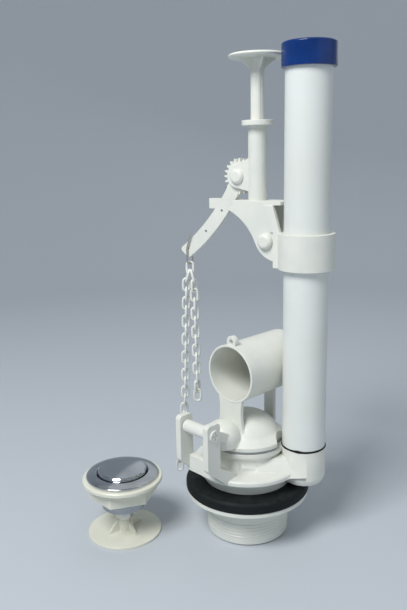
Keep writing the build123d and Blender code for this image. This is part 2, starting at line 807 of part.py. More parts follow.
with BuildPart() as push_rod:
    with BuildSketch(level(rod_bottom)):
        with Locations((-rod_reach, 0)):
            Circle(rod_radius)
    extrude(amount=disc_top - disc_edge - rod_bottom)
    with BuildSketch(arm_plane):
        with BuildLine():
            rim = -rod_reach + disc_radius
            Polyline(
                (-rod_reach, disc_top - disc_edge),
                (rim - edge_round, disc_top - disc_edge),
                (rim, disc_top - disc_edge + edge_round),
                (rim, disc_top - disc_crown - edge_round),
                (rim - edge_round, disc_top - disc_crown),
            )
            Line((rim - edge_round, disc_top - disc_crown), (-rod_reach, disc_top))
            Line((-rod_reach, disc_top), (-rod_reach, disc_top - disc_edge))
        make_face()
    revolve(axis=rod_axis)
    for turn in (0, 90):
        rib_plane = Plane(
            arm_plane.from_local_coords((-rod_reach, 0, 0)),
            x_dir=arm_dir.rotate(Axis.Z, turn + 45),
            z_dir=arm_front.rotate(Axis.Z, turn + 45),
        )
        with BuildSketch(rib_plane):
            with BuildLine():
                Polyline(
                    (-disc_rib_radius, disc_top - disc_edge),
                    (disc_rib_radius, disc_top - disc_edge),
                    (rod_radius, disc_top - disc_edge - disc_rib_drop),
                    (-rod_radius, disc_top - disc_edge - disc_rib_drop),
                    close=True,
                )
            make_face()
        extrude(amount=disc_rib_thickness / 2, both=True)
    # Flat for the tooth tips, then the gaps between the teeth
    with BuildSketch(arm_plane):
        with BuildLine():
            tip_line = -rod_reach - rack_line - tooth_module
            Polyline(
                (tip_line, rod_bottom),
                (tip_line, rack_low + rack_gaps * rack_pitch),
                (-rod_reach - rod_radius - edge_round, rack_low + rack_gaps * rack_pitch),
                (-rod_reach - rod_radius - edge_round, rod_bottom),
                close=True,
            )
        make_face()
        root_depth = tooth_module * rack_dedendum
        root_line = -rod_reach - rack_line + root_depth
        lean = tan(radians(pressure_angle))
        gap_half = rack_pitch / 4 + tooth_backlash / 4
        for k in range(rack_gaps):
            middle = rack_low + k * rack_pitch
            with BuildLine():
                Polyline(
                    (tip_line - edge_round, middle - gap_half - lean * (tooth_module + edge_round)),
                    (root_line, middle - gap_half + lean * root_depth),
                    (root_line, middle + gap_half - lean * root_depth),
                    (tip_line - edge_round, middle + gap_half + lean * (tooth_module + edge_round)),
                    close=True,
                )
            make_face()
    extrude(amount=rod_radius + 1, both=True, mode=Mode.SUBTRACT)

push_rod.part.label = "push_rod"
export_step(push_rod.part, "parts/push_rod.step")

# Toothed lever: gear and curved arm in one, with the clip holes along the arm

lever_dir = Vector(-cos(radians(lever_droop)), -sin(radians(lever_droop)))
lever_side = Vector(sin(radians(lever_droop)), -cos(radians(lever_droop)))
gear_centre = Vector(-gear_reach, gear_height)
lever_span = hole_first + hole_pitch * (hole_count - 1)


def on_lever(along, across):
    """Point of the arm's plane, along the lever's chord and across it towards its outer edge."""
    return gear_centre + lever_dir * along + lever_side * across


def sag_at(along):
    """How far the lever's centre line stands off its chord."""
    share = along / lever_span
    return 4 * lever_sag * share * (1 - share)


def involute(angle):
    """Involute function of an angle in radians."""
    return tan(angle) - angle


def tooth_half_angle(radius):
    """Half of a tooth's angle at a radius, from the involute of the pressure angle."""
    base_radius = pitch_radius * cos(radians(pressure_angle))
    at_pitch = (pi * tooth_module / 2 - tooth_backlash / 2) / (2 * pitch_radius)
    turn = acos(min(1.0, base_radius / radius))
    return at_pitch + involute(radians(pressure_angle)) - involute(turn)


def gear_point(radius, angle):
    """Point of the arm's plane on the gear, at a radius and an angle in radians from the rod's side."""
    return gear_centre + Vector(cos(angle), sin(angle)) * radius


with BuildPart() as lever:
    with BuildSketch(arm_plane):
        with BuildLine():
            outline = []
            root_radius = pitch_radius - tooth_module * gear_dedendum
            tip_radius = pitch_radius + tooth_module
            for k in range(tooth_count):
                centre = 2 * pi * k / tooth_count
                for radius, side in (
                    (root_radius, -1),
                    (pitch_radius, -1),
                    (tip_radius, -1),
                    (tip_radius, 1),
                    (pitch_radius, 1),
                    (root_radius, 1),
                ):
                    outline.append(gear_point(radius, centre + side * tooth_half_angle(radius)))
            Polyline(*outline, close=True)
        make_face()
        with BuildLine():
            tip = lever_span + lever_end
            half = lever_width / 2
            ThreePointArc(on_lever(0, -half), on_lever(tip / 2, sag_at(tip / 2) - half), on_lever(tip, -half))
            Line(on_lever(tip, -half), on_lever(tip, half))
            ThreePointArc(on_lever(tip, half), on_lever(tip / 2, sag_at(tip / 2) + half), on_lever(0, half))
            Line(on_lever(0, half), on_lever(0, -half))
        make_face()
        with Locations(*[on_lever(hole_first + k * hole_pitch, sag_at(hole_first + k * hole_pitch))
                         for k in range(hole_count)]):
            Circle(lever_hole_radius, mode=Mode.SUBTRACT)
        with Locations((-gear_reach, gear_height)):
            Circle(pivot_pin_radius + running_clearance, mode=Mode.SUBTRACT)
    extrude(amount=lever_thickness / 2, both=True)
    lever_axis = Axis((0, 0, 0), arm_dir * lever_dir.X + Vector(0, 0, lever_dir.Y))
    across_edges = lever.edges().filter_by(Axis((0, 0, 0), arm_front)).filter_by(GeomType.LINE)
    fillet(across_edges.sort_by(lever_axis)[-2:], radius=lever_tip_round)

lever.part.label = "lever"
export_step(lever.part, "parts/lever.step")

# Pivot pin of the lever, domed in front

with BuildPart() as pivot_pin:
    pin_half = lever_slot + cheek_thickness
    with BuildSketch(arm_plane):
        with Locations((-gear_reach, gear_height)):
            Circle(pivot_pin_radius)
    extrude(amount=pin_half, both=True)
    for side, height in ((1, pivot_head_height), (-1, pivot_head_height / 2)):
        with BuildSketch(arm_plane.offset(side * (pin_half + height / 2))):
            with Locations((-gear_reach, gear_height)):
                Circle(pivot_head_radius)
        extrude(amount=height / 2, both=True)
    front_edge = pivot_pin.faces().sort_by(Axis((0, 0, 0), arm_front))[-1].edges()
    fillet(front_edge, radius=pivot_head_height * 0.9)

pivot_pin.part.label = "pivot_pin"
export_step(pivot_pin.part, "parts/pivot_pin.step")

# Wire clip through the lever's last hole: up the front, under the lever, up the back and through

clip_hole = on_lever(lever_span, 0)


def by_clip(across, up, front):
    """Point near the clip's hole: along the arm, up, and out to the front."""
    return arm_plane.from_local_coords((clip_hole.X + across, clip_hole.Y + up, front))


with BuildPart() as wire_clip:
    with BuildLine():
        clip_path = FilletPolyline(
            by_clip(clip_lean, clip_rise, clip_half_width),
            by_clip(0, 0, clip_half_width),
            by_clip(0, -clip_drop, clip_half_width),
            by_clip(0, -clip_drop, -clip_half_width),
            by_clip(0, 0, -clip_half_width),
            by_clip(0, 0, clip_half_width - wire_radius * 3),
            radius=[clip_half_width * 2, clip_half_width * 0.9, clip_half_width * 0.9, wire_radius * 2],
        )
    with BuildSketch(Plane(clip_path @ 0, z_dir=clip_path % 0)):
        Circle(wire_radius)
    sweep(path=clip_path)

wire_clip.part.label = "wire_clip"
export_step(wire_clip.part, "parts/wire_clip.step")

# Chain: one link shape, turned a quarter at each step, hung as a long and a short run from one top link

link_inner = link_pitch + link_play
top_link_centre = clip_hole.Y - clip_drop + wire_radius + link_play / 2 - link_inner / 2


def chain_link(centre_x, centre_y, lean, edge_on):
    """One link in the arm's plane, leaning by an angle, seen flat or edge on."""
    down = Vector(sin(radians(lean)), -cos(radians(lean)))
    start = arm_plane.from_local_coords((centre_x, centre_y, 0))
    axis_dir = arm_dir * down.X + Vector(0, 0, down.Y)
    normal = axis_dir.cross(arm_front) if edge_on else arm_front
    with BuildPart() as link:
        with BuildSketch(Plane(start, x_dir=axis_dir, z_dir=normal)):
            SlotOverall(link_inner + 2 * link_wire, link_width)
            SlotOverall(link_inner, link_width - 2 * link_wire, mode=Mode.SUBTRACT)
        extrude(amount=link_wire / 2, both=True)
    return link.part


def chain_run(start_offset, first_lean, lean, count, tail_lean=0, tail_count=0):
    """Links of one run, from the top link's lower end down; the last few may lean more."""
    x = clip_hole.X + start_offset + (link_play + link_wire) / 2 * sin(radians(first_lean))
    y = top_link_centre - link_inner / 2 + top_link_play
    links = []
    for k in range(count):
        angle = first_lean if k == 0 else tail_lean if k >= count - tail_count else lean
        step_x = link_pitch * sin(radians(angle))
        step_y = link_pitch * cos(radians(angle))
        links.append(chain_link(x + step_x / 2, y - step_y / 2, angle, k % 2 == 0))
        x += step_x
        y -= step_y
    return links


with BuildPart() as chain_long:
    add(chain_link(clip_hole.X, top_link_centre, 0, False))
    add(chain_run(
        -run_start_offset, -long_run_spread, -long_run_lean, long_run_count, -long_tail_lean, long_tail_count
    ))

chain_long.part.label = "chain_long"
export_step(chain_long.part, "parts/chain_long.step")

with BuildPart() as chain_short:
    add(chain_run(run_start_offset, short_run_spread, short_run_lean, short_run_count))

chain_short.part.label = "chain_short"
export_step(chain_short.part, "parts/chain_short.step")

# Lid button: ribbed foot, stem, barrel, nut, gasket, escutcheon, push face and return spring

with BuildPart() as button_foot:
    with BuildSketch(Plane.XY):
        with Locations((button_x, button_y)):
            Circle(foot_radius)
    extrude(amount=foot_thickness)
    with BuildSketch(Plane.XY.offset(foot_thickness)):
        with Locations((button_x, button_y)):
            Circle(foot_post_radius)
    extrude(amount=foot_post_top - foot_thickness)
    for turn in (foot_rib_turn, foot_rib_turn + 90):
        rib_dir = Vector(cos(radians(turn)), sin(radians(turn)), 0)
        rib_plane = Plane((button_x, button_y, 0), x_dir=rib_dir, z_dir=rib_dir.cross(Vector(0, 0, 1)))
        with BuildSketch(rib_plane):
            with BuildLine():
                Polyline(
                    (-foot_rib_radius, foot_thickness),
                    (foot_rib_radius, foot_thickness),
                    (foot_post_radius, foot_post_top),
                    (-foot_post_radius, foot_post_top),
                    close=True,
                )
            make_face()
        extrude(amount=foot_rib_thickness / 2, both=True)

button_foot.part.label = "button_foot"
export_step(button_foot.part, "parts/button_foot.step")

with BuildPart() as button_stem:
    with BuildSketch(Plane.XY.offset(foot_post_top)):
        with Locations((button_x, button_y)):
            Circle(stem_radius)
    extrude(amount=stem_shoulder - foot_post_top)
    with BuildSketch(Plane.XY.offset(stem_shoulder)):
        with Locations((button_x, button_y)):
            Circle(stem_neck_radius)
    extrude(amount=button_under - stem_shoulder)

button_stem.part.label = "button_stem"
export_step(button_stem.part, "parts/button_stem.step")

with BuildPart() as button_face:
    with BuildSketch(button_plane):
        with BuildLine():
            Polyline(
                (0, button_under),
                (button_radius, button_under),
                (button_radius, button_top - button_crown - edge_round),
                (button_radius - edge_round, button_top - button_crown),
            )
            face_radius = button_radius - edge_round
            face_sphere = (face_radius**2 + button_crown**2) / (2 * button_crown)
            RadiusArc((face_radius, button_top - button_crown), (0, button_top), -face_sphere)
            Line((0, button_top), (0, button_under))
        make_face()
    revolve(axis=button_axis)

button_face.part.label = "button_face"
export_step(button_face.part, "parts/button_face.step")

with BuildPart() as button_barrel:
    cup_bore = button_barrel_radius - button_barrel_wall
    well_floor = button_under - button_travel - button_floor
    with BuildSketch(button_plane):
        with BuildLine():
            Polyline(
                (stem_radius + running_clearance, button_barrel_bottom),
                (button_barrel_radius, button_barrel_bottom),
                (button_barrel_radius, button_nut_bottom),
                (button_thread_radius, button_nut_bottom),
                (button_thread_radius, gasket_top),
                (button_well, gasket_top),
                (button_well, well_floor),
                (cup_bore, well_floor),
                (cup_bore, button_barrel_bottom + button_floor),
                (stem_radius + running_clearance, button_barrel_bottom + button_floor),
                close=True,
            )
        make_face()
    revolve(axis=button_axis)

button_barrel.part.label = "button_barrel"
export_step(button_barrel.part, "parts/button_barrel.step")

with BuildPart() as button_nut:
    with BuildSketch(Plane.XY.offset(button_nut_bottom)):
        with Locations(Location((button_x, button_y), button_nut_turn)):
            RegularPolygon(button_nut_corner, 6)
            Circle(button_thread_radius + running_clearance, mode=Mode.SUBTRACT)
    extrude(amount=button_nut_height)

button_nut.part.label = "button_nut"
export_step(button_nut.part, "parts/button_nut.step")

with BuildPart() as button_gasket:
    with BuildSketch(Plane.XY.offset(gasket_bottom)):
        with Locations((button_x, button_y)):
            Circle(gasket_radius)
            Circle(button_thread_radius + running_clearance, mode=Mode.SUBTRACT)
    extrude(amount=gasket_thickness)
    rims = button_gasket.edges().filter_by(GeomType.CIRCLE)
    chamfer(rims.group_by(SortBy.RADIUS)[-1], length=edge_round * 0.7)

button_gasket.part.label = "button_gasket"
export_step(button_gasket.part, "parts/button_gasket.step")

with BuildPart() as escutcheon:
    rim_top = gasket_top + escutcheon_edge
    lip_top = gasket_top + escutcheon_rise
    with BuildSketch(button_plane):
        with BuildLine():
            Polyline(
                (button_well, gasket_top),
                (escutcheon_radius, gasket_top),
                (escutcheon_radius, rim_top - edge_round / 2),
                (escutcheon_radius - edge_round / 2, rim_top),
            )
            ThreePointArc(
                (escutcheon_radius - edge_round / 2, rim_top),
                ((escutcheon_radius + button_well) / 2, (rim_top + lip_top) / 2 + edge_round / 3),
                (button_well + edge_round, lip_top),
            )
            Polyline(
                (button_well + edge_round, lip_top),
                (button_well, lip_top - edge_round),
                (button_well, gasket_top),
            )
        make_face()
    revolve(axis=button_axis)

escutcheon.part.label = "escutcheon"
export_step(escutcheon.part, "parts/escutcheon.step")

spring_bottom = button_barrel_bottom + button_floor + spring_wire_radius
spring_height = button_under - spring_wire_radius - spring_bottom

with BuildPart() as button_spring:
    with BuildLine():
        coil = Helix(
            pitch=spring_height / spring_turns,
            height=spring_height,
            radius=spring_radius,
            center=(button_x, button_y, spring_bottom),
        )
    with BuildSketch(Plane(coil @ 0, z_dir=coil % 0)):
        RegularPolygon(spring_wire_radius, 6)
    sweep(path=coil, is_frenet=True)

button_spring.part.label = "button_spring"
export_step(button_spring.part, "parts/button_spring.step")
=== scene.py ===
"""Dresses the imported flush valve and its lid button: finishes, fine detail, stage and camera."""

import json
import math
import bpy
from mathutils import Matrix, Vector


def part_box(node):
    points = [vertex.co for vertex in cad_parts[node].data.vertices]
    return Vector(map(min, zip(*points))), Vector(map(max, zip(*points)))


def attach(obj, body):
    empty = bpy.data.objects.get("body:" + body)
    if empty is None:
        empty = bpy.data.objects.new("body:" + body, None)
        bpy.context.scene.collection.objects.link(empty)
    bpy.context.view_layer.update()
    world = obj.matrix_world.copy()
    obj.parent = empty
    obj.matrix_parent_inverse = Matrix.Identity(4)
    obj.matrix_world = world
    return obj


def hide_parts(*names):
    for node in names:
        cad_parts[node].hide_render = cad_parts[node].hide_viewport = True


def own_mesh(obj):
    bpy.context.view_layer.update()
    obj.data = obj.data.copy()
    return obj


bl_info = {
    "name": "Flush valve dresser",
    "version": (1, 0, 0),
    "blender": (4, 5, 0),
    "location": "View3D > Sidebar > Flush Valve",
    "description": "Builds the pieces and finishes of a cistern flush valve and its lid button",
    "category": "Object",
}

import bmesh
import bpy
from bpy.props import FloatProperty, FloatVectorProperty, IntProperty, PointerProperty
from mathutils import Matrix, Vector

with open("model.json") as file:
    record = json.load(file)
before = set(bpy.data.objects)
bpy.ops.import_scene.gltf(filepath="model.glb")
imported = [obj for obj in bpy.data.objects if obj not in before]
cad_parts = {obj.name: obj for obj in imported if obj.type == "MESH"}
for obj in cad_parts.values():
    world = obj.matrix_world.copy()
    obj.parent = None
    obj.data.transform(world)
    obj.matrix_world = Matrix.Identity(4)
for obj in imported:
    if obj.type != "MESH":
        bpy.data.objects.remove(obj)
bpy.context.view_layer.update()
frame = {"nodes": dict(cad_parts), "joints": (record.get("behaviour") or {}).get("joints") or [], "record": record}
JOINTS = {joint["name"]: joint for joint in frame["joints"]}

MM = 0.001
MERGE = 1e-6
PHOTO_SIZE = (407, 610)
SENSOR_WIDTH = 36.0
CLIP_START = 0.01

# Faces flatter than the first angle are joined, and edges sharper than the second are rounded
# where the faces beside them reach further than a share of the rounding
FLAT_DEGREES = 0.4
SHARP_DEGREES = 38.0
ROUNDING_STEPS = 2
ROUNDING_ROOM = 0.6

# The thread's ridge: the share of its depth outside the mount's radius, and half its foot as a
# share of the pitch
THREAD_PROUD = 0.5
THREAD_HALF_FOOT = 0.36
THREAD_STEPS = 72

# Steps round a ring and round its section
BEAD_STEPS = (144, 12)
LINK_STEPS = (24, 10)

# Waves round the bead: how many, where they start and their share
BEAD_SWELL = ((3, 0.6, 0.5), (7, 2.1, 0.3), (16, 0.0, 0.2))
BEAD_SAG = ((2, 1.2, 0.5), (5, 0.0, 0.3))
SAG_SHARE = 0.4
LUMP_SPREAD = 0.13

NOISE_ROUGHNESS = 0.55

FLOOR_STEPS = 144
SWEEP_STEPS = 20
FLOOR_ROUGHNESS = 0.6

# Each lamp's name, place and size in metres, and the setting that holds its power
LAMPS = (
    ("key_lamp", (-0.48, -0.62, 1.1), 0.5, "key_power"),
    ("fill_lamp", (0.95, -0.6, 0.45), 1.4, "fill_power"),
    ("back_lamp", (0.3, 0.65, 0.95), 1.4, "back_power"),
)
LAMP_TARGET = (0.0, 0.0, 0.16)


# Sizes and colours that a user would change


def length(name, description, millimetres):
    """Float property of a length, given in millimetres and kept in metres."""
    return FloatProperty(
        name=name, description=description, default=millimetres * MM, unit="LENGTH", precision=5
    )


def angle(name, description, degrees):
    """Float property of an angle, given in degrees and kept in radians."""
    return FloatProperty(
        name=name, description=description, default=math.radians(degrees), subtype="ANGLE"
    )


def power(name, description, watts):
    """Float property of a lamp's power."""
    return FloatProperty(name=name, description=description, default=watts, unit="POWER")


def count(name, description, value):
    """Whole number of like things."""
    return IntProperty(name=name, description=description, default=value, min=1)


def colour(name, description, value):
    """Colour property in linear light."""
    return FloatVectorProperty(
        name=name,
        description=description,
        default=value,
        size=3,
        subtype="COLOR",
        min=0.0,
        max=1.0,
    )


class FlushValveSizes(bpy.types.PropertyGroup):
    """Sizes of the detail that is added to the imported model."""

    mould_edge: length("Moulded edge", "Rounding along the edges of moulded plastic", 0.35)
    small_edge: length("Small edge", "Rounding along the edges of pins, teeth and nuts", 0.14)
    thread_pitch: length("Thread pitch", "Rise of the outlet thread in one turn", 2.31)
    thread_depth: length("Thread depth", "Height of the outlet thread's ridge", 0.8)
    thread_start: length("Thread start", "Height of the first turn above the tail's end", 5.4)
    thread_turns: count("Thread turns", "Turns of the outlet thread", 5)
    bead_height: length("Bead height", "Mean height of the bead at the tube's joint", 1.5)
    bead_proud: length("Bead proud", "How far the bead stands out of the joint", 0.25)
    bead_uneven: length("Bead unevenness", "How far the bead's edges wander", 0.45)
    bead_lump: length("Bead lump", "Extra height of the bead's one lump", 0.8)
    lump_turn: angle("Lump turn", "Where the bead's lump is, about the tube", -115.0)
    link_pitch: length("Link pitch", "Step from one chain link to the next", 7.3)
    link_width: length("Link width", "Width of a chain link over its wire", 6.9)
    link_wire: length("Link wire", "Thickness of a chain link's wire", 1.9)
    link_play: length("Link play", "Slack between two chain links", 0.45)
    clip_drop: length("Clip drop", "Depth of the wire clip below the lever's hole", 12.5)
    clip_wire: length("Clip wire", "Thickness of the clip's wire", 1.2)
    top_link_play: length("Top link play", "Rise of the two runs in the top link", 1.15)
    run_offset: length("Run offset", "First wire of each run from the top link's middle", 0.87)
    long_links: count("Long run", "Links in the long run", 23)
    tail_links: count("Long run's tail", "Links at the long run's end that lean more", 9)
    short_links: count("Short run", "Links in the short run", 14)
    long_spread: angle("Long run spread", "Lean of the long run's first link", 21.0)
    long_lean: angle("Long run lean", "Lean of the long run", 2.6)
    tail_lean: angle("Tail lean", "Lean of the long run's last links", 6.6)
    short_spread: angle("Short run spread", "Lean of the short run's first link", 17.0)
    short_lean: angle("Short run lean", "Lean of the short run", 0.6)
    chain_turn: angle("Chain turn", "Turn of both runs about their length", -36.0)
    link_twist: angle("Link twist", "Turn that a link gives up where a run twists", 45.0)
    twisted_links: count("Twisted links", "Links that give up some turn where a run twists", 2)


class FlushValveColours(bpy.types.PropertyGroup):
    """Colours of the finishes, in linear light."""

    white: colour("Moulded white", "White moulded plastic", (0.80, 0.805, 0.735))
    white_shade: colour("White shade", "Deeper tone of the white plastic", (0.73, 0.745, 0.685))
    tube: colour("Tube white", "White drawn tube", (0.78, 0.81, 0.785))
    chain: colour("Chain white", "White of the chain links", (0.83, 0.84, 0.80))
    cream: colour("Button cream", "Cream plastic of the lid button", (0.79, 0.79, 0.68))
    cream_shade: colour("Cream shade", "Deeper tone of the cream plastic", (0.74, 0.74, 0.62))
    cap: colour("Cap blue", "Blue cap on the tube", (0.002, 0.034, 0.18))
    cap_shade: colour("Cap shade", "Deeper tone of the blue cap", (0.001, 0.023, 0.135))
    rubber: colour("Seal black", "Black rubber", (0.006, 0.008, 0.009))
    rubber_bloom: colour("Seal bloom", "Bloom on the black rubber", (0.011, 0.013, 0.014))
    seal: colour("Flapper seal grey", "Grey rubber under the flapper", (0.42, 0.44, 0.43))
    seal_bloom: colour("Flapper seal bloom", "Bloom on the grey rubber", (0.36, 0.38, 0.37))
    steel: colour("Wire steel", "Drawn steel wire", (0.62, 0.60, 0.53))
    turned: colour("Turned steel", "Steel turned on a lathe", (0.42, 0.44, 0.47))
    chrome: colour("Chrome", "Polished chrome plate", (0.62, 0.64, 0.66))
    dust: colour("Dust", "Dust on upward faces", (0.62, 0.60, 0.56))


class FlushValveStage(bpy.types.PropertyGroup):
    """Camera, floor, lamps and sky."""

    camera_place: FloatVectorProperty(
        name="Camera",
        description="Where the camera stands",
        default=(-0.0299, -0.44768, 0.27488),
        subtype="XYZ",
    )
    camera_tilt: angle("Tilt", "Camera's tilt below the horizon", 13.079)
    camera_roll: angle("Roll", "Camera's turn about its view", -1.173)
    focal_pixels: FloatProperty(
        name="Focal length", description="In pixels of the photograph", default=656.23
    )
    floor: colour("Floor", "Pale floor and backdrop", (0.54, 0.58, 0.62))
    floor_radius: length("Floor radius", "From the floor's middle to its rim", 1600.0)
    rim_height: length("Rim height", "Height of the floor's rim", 1800.0)
    rim_sweep: length("Rim sweep", "Rounding between the floor and its rim", 700.0)
    key_power: power("Key lamp", "Power of the key lamp", 13.5)
    fill_power: power("Fill lamp", "Power of the fill lamp", 1.2)
    back_power: power("Back lamp", "Power of the back lamp", 1.6)
    sky: colour("Sky", "Colour of the even light", (0.86, 0.93, 1.0))
    sky_strength: FloatProperty(
        name="Sky strength", description="Strength of the even light", default=0.33
    )


def sizes():
    """Sizes set in the scene."""
    return bpy.context.scene.flush_valve_sizes


def colours():
    """Colours set in the scene."""
    return bpy.context.scene.flush_valve_colours


# Modelling helpers


def select_only(*objects):
    """Leaves edit mode and selects these objects, the last one active."""
    if bpy.context.object and bpy.context.object.mode != "OBJECT":
        bpy.ops.object.mode_set(mode="OBJECT")
    bpy.ops.object.select_all(action="DESELECT")
    for obj in objects:
        obj.select_set(True)
        bpy.context.view_layer.objects.active = obj


def edit_all(obj):
    """Opens an object in edit mode with all of it selected."""
    select_only(obj)
    bpy.ops.object.mode_set(mode="EDIT")
    bpy.ops.mesh.select_mode(type="VERT")
    bpy.ops.mesh.select_all(action="SELECT")


def pick_vertices(obj, test):
    """In edit mode, selects the vertices whose place passes a test."""
    shape = bmesh.from_edit_mesh(obj.data)
    bpy.ops.mesh.select_all(action="DESELECT")
    for vertex in shape.verts:
        vertex.select_set(test(vertex.co))
    shape.select_flush_mode()
    bmesh.update_edit_mesh(obj.data)


def pick_edges(obj, test):
    """In edit mode, selects the edges that pass a test."""
    bpy.ops.mesh.select_mode(type="EDGE")
    bpy.ops.mesh.select_all(action="DESELECT")
    shape = bmesh.from_edit_mesh(obj.data)
    for edge in shape.edges:
        edge.select_set(test(edge))
    bmesh.update_edit_mesh(obj.data)


def close_edit():
    """Merges doubled points, turns the faces outwards and leaves edit mode."""
    bpy.ops.mesh.select_all(action="SELECT")
    bpy.ops.mesh.remove_doubles(threshold=MERGE)
    bpy.ops.mesh.normals_make_consistent(inside=False)
    bpy.ops.object.mode_set(mode="OBJECT")


def smooth(obj, degrees=35.0):
    """Smooth shading, kept crisp across edges sharper than an angle."""
    select_only(obj)
    bpy.ops.object.shade_smooth_by_angle(angle=math.radians(degrees))


def apply_modifiers(obj):
    """Applies every modifier in order."""
    select_only(obj)
    for modifier in list(obj.modifiers):
        bpy.ops.object.modifier_apply(modifier=modifier.name)


def reach(face, edge):
    """How far a face reaches from one of its edges, on average."""
    if len(face.verts) > 4:
        return 2 * face.calc_area() / face.calc_perimeter()
    return face.calc_area() / edge.calc_length()


def soften(obj, width):
    """Rounds the sharp outward edges, where the faces beside them have room for it."""
    limit = math.radians(SHARP_DEGREES)
    room = width * ROUNDING_ROOM

    def to_round(edge):
        sharp = edge.is_manifold and edge.is_convex and edge.calc_face_angle() > limit
        return sharp and min(reach(face, edge) for face in edge.link_faces) > room

    edit_all(obj)
    pick_edges(obj, to_round)
    bpy.ops.mesh.bevel(
        offset=width,
        segments=ROUNDING_STEPS,
        affect="EDGES",
        clamp_overlap=False,
        miter_outer="ARC",
    )
    bpy.ops.object.mode_set(mode="OBJECT")


def level_normals(obj):
    """Keeps broad faces flat in the light beside their rounded edges."""
    weights = obj.modifiers.new("flat_faces", "WEIGHTED_NORMAL")
    weights.mode = "FACE_AREA_WITH_ANGLE"
    weights.keep_sharp = True
    apply_modifiers(obj)


def moulded_copy(node, name, edge, look, body):
    """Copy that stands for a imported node, its flat faces joined up and its edges rounded."""
    select_only(frame["nodes"][node])
    bpy.ops.object.duplicate()
    piece = bpy.context.object
    piece.name = name
    for key in [k for k in piece.keys() if k.startswith("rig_")]:
        del piece[key]
    piece.parent = None
    edit_all(piece)
    bpy.ops.mesh.remove_doubles(threshold=MERGE)
    bpy.ops.mesh.dissolve_limited(angle_limit=math.radians(FLAT_DEGREES))
    bpy.ops.object.mode_set(mode="OBJECT")
    if edge > 0:
        soften(piece, edge)
    smooth(piece)
    level_normals(piece)
    finish_piece(piece, look, body, node)
    return piece


def paint(obj, look):
    """Puts one finish all over an object."""
    obj.data.materials.clear()
    obj.data.materials.append(finish(look))


def finish_piece(piece, look, body, *nodes):
    """Gives a piece its finish and its body, and hides the nodes that it stands for."""
    paint(piece, look)
    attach(piece, body)
    if nodes:
        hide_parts(*nodes)


# Finishes


def node_group(name, inputs, outputs):
    """Shader group with a Vector input and named numbers; returns it with its end nodes."""
    group = bpy.data.node_groups.new(name, "ShaderNodeTree")
    group.interface.new_socket("Vector", in_out="INPUT", socket_type="NodeSocketVector")
    for socket in inputs:
        group.interface.new_socket(socket, in_out="INPUT", socket_type="NodeSocketFloat")
    for socket in outputs:
        group.interface.new_socket(socket, in_out="OUTPUT", socket_type="NodeSocketFloat")
    return group, group.nodes.new("NodeGroupInput"), group.nodes.new("NodeGroupOutput")


def feed(tree, socket, given):
    """Links a socket to the one given, or sets it to the number or colour given."""
    if isinstance(given, bpy.types.NodeSocket):
        tree.links.new(given, socket)
    elif socket.type == "RGBA":
        socket.default_value = (*given, 1.0)
    else:
        socket.default_value = given


def noise(tree, vector, scale, detail):
    """Noise texture on a vector; scale is a number or a socket."""
    node = tree.nodes.new("ShaderNodeTexNoise")
    node.inputs["Detail"].default_value = detail
    node.inputs["Roughness"].default_value = NOISE_ROUGHNESS
    tree.links.new(vector, node.inputs["Vector"])
    feed(tree, node.inputs["Scale"], scale)
    return node.outputs["Fac"]


def stretch(tree, vector, scale, turn=(0.0, 0.0, 0.0)):
    """Vector scaled along each axis and turned."""
    node = tree.nodes.new("ShaderNodeMapping")
    node.inputs["Rotation"].default_value = turn
    node.inputs["Scale"].default_value = scale
    tree.links.new(vector, node.inputs["Vector"])
    return node.outputs["Vector"]


def spread(tree, value, low, high, to_low=0.0, to_high=1.0):
    """Maps a value from one range to another, held at the ends; the new range may be sockets."""
    node = tree.nodes.new("ShaderNodeMapRange")
    node.inputs["From Min"].default_value = low
    node.inputs["From Max"].default_value = high
    tree.links.new(value, node.inputs["Value"])
    feed(tree, node.inputs["To Min"], to_low)
    feed(tree, node.inputs["To Max"], to_high)
    return node.outputs["Result"]


def blend_colours(tree, factor, first, second):
    """Mix of two colours by a factor; a colour is three numbers or a socket."""
    node = tree.nodes.new("ShaderNodeMix")
    node.data_type = "RGBA"
    tree.links.new(factor, node.inputs["Factor"])
    for name, given in (("A", first), ("B", second)):
        feed(tree, next(s for s in node.inputs if s.name == name and s.type == "RGBA"), given)
    return next(s for s in node.outputs if s.type == "RGBA")


def combine(tree, operation, *values):
    """One math step on numbers and sockets."""
    node = tree.nodes.new("ShaderNodeMath")
    node.operation = operation
    for socket, given in zip(node.inputs, values):
        feed(tree, socket, given)
    return node.outputs["Value"]


def dulled(main, share):
    """Colour at a share of its strength."""
    return tuple(part * share for part in main)


def make_surface_group():
    """Uneven tone, roughness and fine relief of a moulded or rubbed surface."""
    group, start, end = node_group(
        "surface_variation",
        ("Tone Scale", "Grain Scale", "Rough Low", "Rough High"),
        ("Tone", "Roughness", "Height"),
    )
    given = start.outputs
    broad = noise(group, given["Vector"], given["Tone Scale"], detail=3.0)
    fine = noise(group, given["Vector"], given["Grain Scale"], detail=5.0)
    mixed = combine(group, "MULTIPLY_ADD", fine, 0.35, broad)
    rough = spread(group, mixed, 0.35, 0.95, given["Rough Low"], given["Rough High"])
    group.links.new(spread(group, broad, 0.35, 0.68), end.inputs["Tone"])
    group.links.new(rough, end.inputs["Roughness"])
    group.links.new(fine, end.inputs["Height"])
    return group


def make_dust_group():
    """Mask of thin dust that settles on faces that look up."""
    group, start, end = node_group("settled_dust", ("Amount",), ("Mask",))
    geometry = group.nodes.new("ShaderNodeNewGeometry")
    split = group.nodes.new("ShaderNodeSeparateXYZ")
    group.links.new(geometry.outputs["Normal"], split.inputs[0])
    upward = spread(group, split.outputs["Z"], 0.35, 1.0)
    patchy = spread(group, noise(group, start.outputs["Vector"], 170.0, detail=6.0), 0.42, 0.72)
    settled = combine(group, "MULTIPLY", upward, patchy)
    mask = combine(group, "MULTIPLY", settled, start.outputs["Amount"])
    group.links.new(mask, end.inputs["Mask"])
    return group


